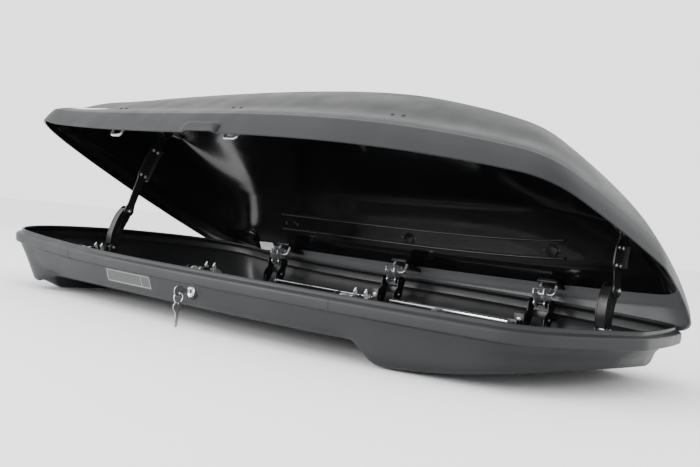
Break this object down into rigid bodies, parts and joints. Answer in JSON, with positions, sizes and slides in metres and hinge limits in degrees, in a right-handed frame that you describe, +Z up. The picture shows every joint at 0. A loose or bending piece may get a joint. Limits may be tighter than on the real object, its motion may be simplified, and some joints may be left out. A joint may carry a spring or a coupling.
{
  "type": "roof cargo box",
  "caption": "Dual-side-opening car roof cargo box: moulded tub and hinged lid on claw posts, folding stays, lock and roof bar clamps.",
  "frame": {"origin": "on the flat underside of the tub, under the middle of the box", "axes": "+X along the length to the nose, +Y to the far side, +Z up"},
  "size_m": [1.816, 0.8475, 0.5569],
  "materials": {
    "lid_plastic": "matt fine-grain ABS",
    "base_plastic": "matt fine-grain ABS",
    "black_steel": "black powder coat",
    "zinc_steel": "bright zinc plate",
    "chrome": "bright chrome",
    "knob_plastic": "grey moulded nylon",
    "pad_rubber": "black rubber-faced nylon",
    "label_film": "satin printed film"
  },
  "bodies": {
    "base": {"base_tub": "base_plastic", "post_near_1": "black_steel", "post_near_2": "black_steel", "post_near_3": "black_steel", "post_far_1": "black_steel", "post_far_2": "black_steel", "post_far_3": "black_steel", "stay_foot_rear": "black_steel", "stay_foot_front": "black_steel", "lock_housing": "chrome", "label_plate": "label_film", "clamp_saddle_rear_near": "pad_rubber", "clamp_saddle_rear_far": "pad_rubber", "clamp_saddle_front_near": "pad_rubber", "clamp_saddle_front_far": "pad_rubber"},
    "lid": {"lid_shell": "lid_plastic", "striker_near_1": "zinc_steel", "striker_near_2": "zinc_steel", "striker_near_3": "zinc_steel", "lid_rail_near": "black_steel", "grip_near": "lid_plastic", "striker_far_1": "zinc_steel", "striker_far_2": "zinc_steel", "striker_far_3": "zinc_steel", "lid_rail_far": "black_steel", "grip_far": "lid_plastic", "badge_plate": "label_film", "stay_hanger_rear": "black_steel", "stay_hanger_front": "black_steel"},
    "stay_lower_rear": {"stay_lower_rear": "black_steel"},
    "stay_upper_rear": {"stay_upper_rear": "black_steel"},
    "stay_lower_front": {"stay_lower_front": "black_steel"},
    "stay_upper_front": {"stay_upper_front": "black_steel"},
    "claw_near_1": {"claw_near_1": "zinc_steel"},
    "claw_near_2": {"claw_near_2": "zinc_steel"},
    "claw_near_3": {"claw_near_3": "zinc_steel"},
    "thin_rod_near": {"thin_rod_near": "zinc_steel"},
    "drive_tube_near": {"drive_tube_near": "chrome"},
    "claw_far_1": {"claw_far_1": "zinc_steel"},
    "claw_far_2": {"claw_far_2": "zinc_steel"},
    "claw_far_3": {"claw_far_3": "zinc_steel"},
    "thin_rod_far": {"thin_rod_far": "zinc_steel"},
    "drive_tube_far": {"drive_tube_far": "chrome"},
    "lock_cylinder": {"lock_cylinder": "chrome", "lock_key": "zinc_steel"},
    "key_ring": {"key_ring": "zinc_steel"},
    "spare_key": {"spare_key": "zinc_steel"},
    "clamp_knob_rear_near": {"clamp_knob_rear_near": "knob_plastic"},
    "clamp_jaw_rear_near": {"clamp_jaw_rear_near": "black_steel"},
    "clamp_knob_rear_far": {"clamp_knob_rear_far": "knob_plastic"},
    "clamp_jaw_rear_far": {"clamp_jaw_rear_far": "black_steel"},
    "clamp_knob_front_near": {"clamp_knob_front_near": "knob_plastic"},
    "clamp_jaw_front_near": {"clamp_jaw_front_near": "black_steel"},
    "clamp_knob_front_far": {"clamp_knob_front_far": "knob_plastic"},
    "clamp_jaw_front_far": {"clamp_jaw_front_far": "black_steel"}
  },
  "joints": [
    {"name": "lid_hinge", "type": "hinge", "parent": "base", "child": "lid", "pos_m": [0, 0.338, 0.098], "axis": [1, 0, 0], "range_deg": [0, 24.7]},
    {"name": "stay_rear_lower_pivot", "type": "hinge", "parent": "base", "child": "stay_lower_rear", "pos_m": [-0.76, -0.108, 0.074], "axis": [1, 0, 0], "range_deg": [0, 124.81]},
    {"name": "stay_rear_upper_pivot", "type": "hinge", "parent": "lid", "child": "stay_upper_rear", "pos_m": [-0.76, 0.02783, 0.41678], "axis": [1, 0, 0], "range_deg": [-36.14, 0]},
    {"name": "stay_front_lower_pivot", "type": "hinge", "parent": "base", "child": "stay_lower_front", "pos_m": [0.715, 0.135, 0.058], "axis": [1, 0, 0], "range_deg": [-47.23, 0]},
    {"name": "stay_front_upper_pivot", "type": "hinge", "parent": "lid", "child": "stay_upper_front", "pos_m": [0.715, 0.15348, 0.25442], "axis": [1, 0, 0], "range_deg": [0, 37.97]},
    {"name": "claw_near_1_pivot", "type": "hinge", "parent": "base", "child": "claw_near_1", "pos_m": [-0.523, -0.324, 0.076], "axis": [1, 0, 0], "range_deg": [0, 125]},
    {"name": "claw_near_2_pivot", "type": "hinge", "parent": "base", "child": "claw_near_2", "pos_m": [-0.045, -0.324, 0.076], "axis": [1, 0, 0], "range_deg": [0, 125]},
    {"name": "claw_near_3_pivot", "type": "hinge", "parent": "base", "child": "claw_near_3", "pos_m": [0.433, -0.324, 0.076], "axis": [1, 0, 0], "range_deg": [0, 125]},
    {"name": "thin_rod_near_slide", "type": "slide", "parent": "base", "child": "thin_rod_near", "axis": [1, 0, 0], "range_m": [-0.0165, 0.0005]},
    {"name": "drive_tube_near_slide", "type": "slide", "parent": "base", "child": "drive_tube_near", "axis": [1, 0, 0], "range_m": [-0.0165, 0.0005]},
    {"name": "claw_far_1_pivot", "type": "hinge", "parent": "base", "child": "claw_far_1", "pos_m": [-0.523, 0.324, 0.076], "axis": [1, 0, 0], "range_deg": [0, 125]},
    {"name": "claw_far_2_pivot", "type": "hinge", "parent": "base", "child": "claw_far_2", "pos_m": [-0.045, 0.324, 0.076], "axis": [1, 0, 0], "range_deg": [0, 125]},
    {"name": "claw_far_3_pivot", "type": "hinge", "parent": "base", "child": "claw_far_3", "pos_m": [0.433, 0.324, 0.076], "axis": [1, 0, 0], "range_deg": [0, 125]},
    {"name": "thin_rod_far_slide", "type": "slide", "parent": "base", "child": "thin_rod_far", "axis": [1, 0, 0], "range_m": [-0.0165, 0.0005]},
    {"name": "drive_tube_far_slide", "type": "slide", "parent": "base", "child": "drive_tube_far", "axis": [1, 0, 0], "range_m": [-0.0165, 0.0005]},
    {"name": "lock_turn", "type": "hinge", "parent": "base", "child": "lock_cylinder", "pos_m": [0.022, -0.382, 0.037], "axis": [0, 1, 0], "range_deg": [-0.5, 90.5]},
    {"name": "key_ring_swing", "type": "hinge", "parent": "lock_cylinder", "child": "key_ring", "pos_m": [0.022, -0.418, 0.032], "axis": [1, 0, 0], "range_deg": [-25, 8]},
    {"name": "spare_key_swing", "type": "hinge", "parent": "key_ring", "child": "spare_key", "pos_m": [0.022, -0.418, 0.0114], "axis": [1, 0, 0], "range_deg": [-60, 12]},
    {"name": "clamp_knob_rear_near_turn", "type": "hinge", "parent": "base", "child": "clamp_knob_rear_near", "pos_m": [-0.576, -0.13, 0.02], "axis": [0, 0, 1], "range_deg": [-720, 0]},
    {"name": "clamp_jaw_rear_near_slide", "type": "slide", "parent": "base", "child": "clamp_jaw_rear_near", "axis": [1, 0, 0], "range_m": [-0.0125, 0]},
    {"name": "clamp_knob_rear_far_turn", "type": "hinge", "parent": "base", "child": "clamp_knob_rear_far", "pos_m": [-0.576, 0.13, 0.02], "axis": [0, 0, 1], "range_deg": [-720, 0]},
    {"name": "clamp_jaw_rear_far_slide", "type": "slide", "parent": "base", "child": "clamp_jaw_rear_far", "axis": [1, 0, 0], "range_m": [-0.0125, 0]},
    {"name": "clamp_knob_front_near_turn", "type": "hinge", "parent": "base", "child": "clamp_knob_front_near", "pos_m": [0.28, -0.13, 0.02], "axis": [0, 0, 1], "range_deg": [-720, 0]},
    {"name": "clamp_jaw_front_near_slide", "type": "slide", "parent": "base", "child": "clamp_jaw_front_near", "axis": [1, 0, 0], "range_m": [-0.0125, 0]},
    {"name": "clamp_knob_front_far_turn", "type": "hinge", "parent": "base", "child": "clamp_knob_front_far", "pos_m": [0.28, 0.13, 0.02], "axis": [0, 0, 1], "range_deg": [-720, 0]},
    {"name": "clamp_jaw_front_far_slide", "type": "slide", "parent": "base", "child": "clamp_jaw_front_far", "axis": [1, 0, 0], "range_m": [-0.0125, 0]}
  ],
  "couplings": [
    {"joint": "stay_rear_lower_pivot", "follows": "lid_hinge", "ratio": 5.0327},
    {"joint": "stay_rear_upper_pivot", "follows": "lid_hinge", "ratio": -1.443},
    {"joint": "stay_front_lower_pivot", "follows": "lid_hinge", "ratio": -1.8921},
    {"joint": "stay_front_upper_pivot", "follows": "lid_hinge", "ratio": 1.5169},
    {"joint": "claw_near_1_pivot", "follows": "claw_near_2_pivot", "ratio": 1},
    {"joint": "claw_near_3_pivot", "follows": "claw_near_2_pivot", "ratio": 1},
    {"joint": "thin_rod_near_slide", "follows": "claw_near_2_pivot", "m_per_rad": -0.007334},
    {"joint": "drive_tube_near_slide", "follows": "claw_near_2_pivot", "m_per_rad": -0.007334},
    {"joint": "claw_far_1_pivot", "follows": "claw_far_2_pivot", "ratio": 1},
    {"joint": "claw_far_3_pivot", "follows": "claw_far_2_pivot", "ratio": 1},
    {"joint": "thin_rod_far_slide", "follows": "claw_far_2_pivot", "m_per_rad": -0.007334},
    {"joint": "drive_tube_far_slide", "follows": "claw_far_2_pivot", "m_per_rad": -0.007334},
    {"joint": "lock_turn", "follows": "claw_near_2_pivot", "ratio": 0.72},
    {"joint": "clamp_jaw_rear_near_slide", "follows": "clamp_knob_rear_near_turn", "m_per_rad": 0.00095493},
    {"joint": "clamp_jaw_rear_far_slide", "follows": "clamp_knob_rear_far_turn", "m_per_rad": 0.00095493},
    {"joint": "clamp_jaw_front_near_slide", "follows": "clamp_knob_front_near_turn", "m_per_rad": 0.00095493},
    {"joint": "clamp_jaw_front_far_slide", "follows": "clamp_knob_front_far_turn", "m_per_rad": 0.00095493}
  ]
}
